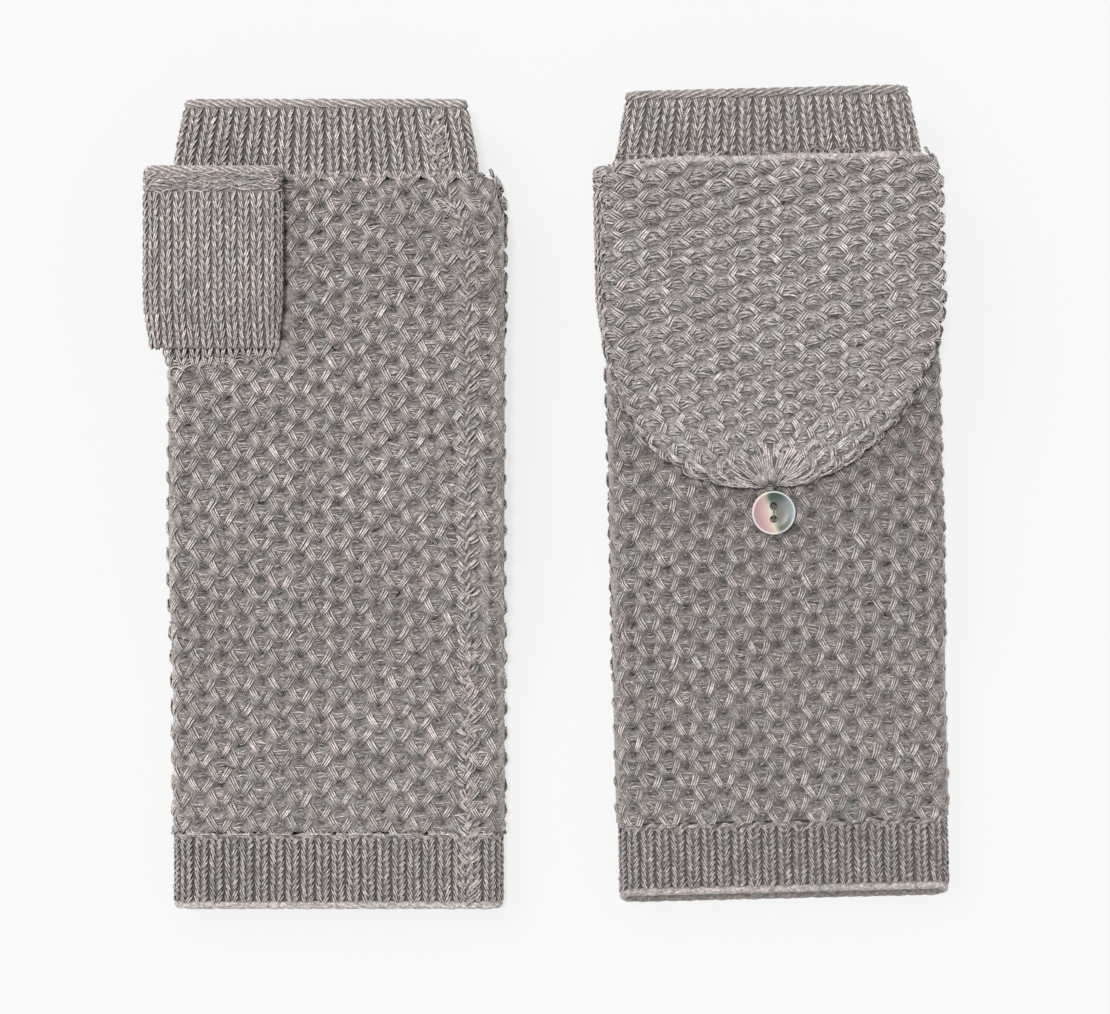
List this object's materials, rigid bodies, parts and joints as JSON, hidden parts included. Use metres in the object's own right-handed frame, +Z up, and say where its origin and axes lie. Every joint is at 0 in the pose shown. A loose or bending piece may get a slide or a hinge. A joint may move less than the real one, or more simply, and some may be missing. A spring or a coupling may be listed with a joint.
{
  "type": "convertible flip-top mittens",
  "caption": "Pair of knitted fingerless mittens with ribbed bands, open-ended thumbs and a flip-over hood that buttons back on a shell button.",
  "frame": {"origin": "centre of the pair's box, on the surface that the pair lies on", "axes": "+Z up, +Y towards the finger ends, +X from the left-hand mitten (palm up) to the right-hand mitten (back up)"},
  "size_m": [0.2328, 0.2388, 0.0289],
  "materials": {
    "honeycomb_knit": "heathered brushed cashmere, honeycomb tuck stitch",
    "rib_knit": "heathered cashmere, one by one rib",
    "hood_knit": "heathered brushed cashmere, honeycomb tuck stitch",
    "thumb_knit": "heathered cashmere, stockinette",
    "edge_yarn": "heathered cashmere yarn",
    "sewing_yarn": "plied yarn",
    "mother_of_pearl": "polished smoke-coloured shell"
  },
  "bodies": {
    "left_hand": {"left_hand_tube": "honeycomb_knit", "left_wrist_rib": "rib_knit", "left_finger_rib": "rib_knit", "left_wrist_cast_on": "edge_yarn", "left_wrist_link_row": "edge_yarn", "left_finger_link_row": "edge_yarn", "left_finger_bind_off": "edge_yarn", "left_side_seam": "edge_yarn", "left_thumb_seam": "edge_yarn", "left_hood_hinge_seam": "edge_yarn", "left_button_shank": "sewing_yarn"},
    "left_thumb": {"left_thumb_tube": "thumb_knit", "left_thumb_rim": "thumb_knit"},
    "left_hood": {"left_hood_back": "hood_knit", "left_hood_tip_gather": "edge_yarn", "left_button_loop": "sewing_yarn"},
    "left_hood_palm_layer": {"left_hood_palm": "hood_knit", "left_hood_mouth_edge": "edge_yarn"},
    "left_button": {"left_button": "mother_of_pearl", "left_button_thread": "sewing_yarn"},
    "right_hand": {"right_hand_tube": "honeycomb_knit", "right_wrist_rib": "rib_knit", "right_finger_rib": "rib_knit", "right_wrist_cast_on": "edge_yarn", "right_wrist_link_row": "edge_yarn", "right_finger_link_row": "edge_yarn", "right_finger_bind_off": "edge_yarn", "right_side_seam": "edge_yarn", "right_thumb_seam": "edge_yarn", "right_hood_hinge_seam": "edge_yarn", "right_button_shank": "sewing_yarn"},
    "right_thumb": {"right_thumb_tube": "thumb_knit", "right_thumb_rim": "thumb_knit"},
    "right_hood": {"right_hood_back": "hood_knit", "right_hood_tip_gather": "edge_yarn", "right_button_loop": "sewing_yarn"},
    "right_hood_palm_layer": {"right_hood_palm": "hood_knit", "right_hood_mouth_edge": "edge_yarn"},
    "right_button": {"right_button": "mother_of_pearl", "right_button_thread": "sewing_yarn"}
  },
  "joints": [
    {"name": "pair_spacing", "type": "slide", "parent": "left_hand", "child": "right_hand", "axis": [1, 0, 0], "range_m": [0, 0.1]},
    {"name": "left_hood_flip", "type": "hinge", "parent": "left_hand", "child": "left_hood", "pos_m": [-0.062, 0.09093, 0.0084], "axis": [1, 0, 0], "range_deg": [0, 180], "deforming": ["left_hood_palm", "left_hood_mouth_edge", "left_button_loop"]},
    {"name": "left_hood_mouth", "type": "hinge", "parent": "left_hood", "child": "left_hood_palm_layer", "pos_m": [-0.0643, 0.00183, 0.0011], "axis": [-1, 0, 0], "range_deg": [0, 5]},
    {"name": "left_thumb_lift", "type": "hinge", "parent": "left_hand", "child": "left_thumb", "pos_m": [-0.062, 0.04233, 0.0215], "axis": [1, 0, 0], "range_deg": [0, 80]},
    {"name": "left_button_tilt", "type": "hinge", "parent": "left_hand", "child": "left_button", "pos_m": [-0.0637, -0.00747, 0.0066], "axis": [1, 0, 0], "range_deg": [-8, 8], "stiffness_Nm_per_rad": 0.0004},
    {"name": "right_hood_flip", "type": "hinge", "parent": "right_hand", "child": "right_hood", "pos_m": [0.06283, 0.0943, 0.0205], "axis": [-0.9997, -0.0244, 0], "range_deg": [0, 180], "deforming": ["right_hood_palm", "right_hood_mouth_edge", "right_button_loop"]},
    {"name": "right_hood_mouth", "type": "hinge", "parent": "right_hood", "child": "right_hood_palm_layer", "pos_m": [0.0627, 0.00517, 0.0278], "axis": [0.9997, 0.0244, 0], "range_deg": [0, 5]},
    {"name": "right_thumb_lift", "type": "hinge", "parent": "right_hand", "child": "right_thumb", "pos_m": [0.06401, 0.04572, 0.0074], "axis": [-0.9997, -0.0244, 0], "range_deg": [0, 80]},
    {"name": "right_button_tilt", "type": "hinge", "parent": "right_hand", "child": "right_button", "pos_m": [0.06353, -0.00411, 0.0223], "axis": [-0.9997, -0.0244, 0], "range_deg": [-8, 8], "stiffness_Nm_per_rad": 0.0004}
  ],
  "couplings": [
    {"joint": "left_hood_mouth", "follows": "left_hood_flip", "ratio": 0.0267},
    {"joint": "right_hood_mouth", "follows": "right_hood_flip", "ratio": 0.0267}
  ]
}
